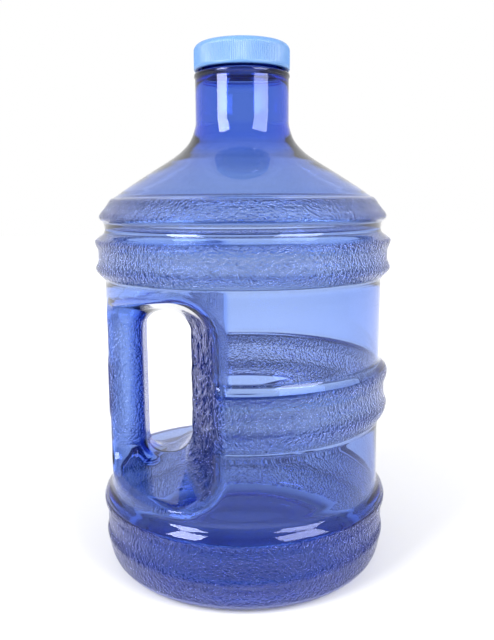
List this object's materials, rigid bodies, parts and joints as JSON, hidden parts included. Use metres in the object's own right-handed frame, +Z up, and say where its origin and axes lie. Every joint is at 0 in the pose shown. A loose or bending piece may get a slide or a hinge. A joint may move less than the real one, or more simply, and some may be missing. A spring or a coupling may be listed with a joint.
{
  "type": "large water jug",
  "caption": "Transparent blue carry jug for drinking water, with raised textured bands, a grip moulded through its side, a narrow neck and a screw cap.",
  "frame": {"origin": "centre of the flat ring that the jug stands on", "axes": "+Z up along the neck, the grip on the -X side, the finger pocket open towards -Y and +Y"},
  "size_m": [0.17, 0.17, 0.2994],
  "materials": {
    "bottle": "clear blue tinted, glossy, pebbled on the bands and the grip",
    "cap": "semi-gloss, ribbed skirt",
    "liner": "soft foam"
  },
  "bodies": {
    "bottle_body": {"bottle": "bottle"},
    "liner_body": {"cap_liner": "liner"},
    "cap_body": {"screw_cap": "cap"}
  },
  "joints": [
    {"name": "cap_rise", "type": "slide", "parent": "bottle_body", "child": "liner_body", "axis": [0, 0, 1], "range_m": [0, 0.0128]},
    {"name": "cap_turn", "type": "hinge", "parent": "liner_body", "child": "cap_body", "pos_m": [0, 0, 0.29], "axis": [0, 0, 1], "range_deg": [0, 1080]}
  ],
  "couplings": [
    {"joint": "cap_rise", "follows": "cap_turn", "m_per_rad": 0.0006737}
  ]
}
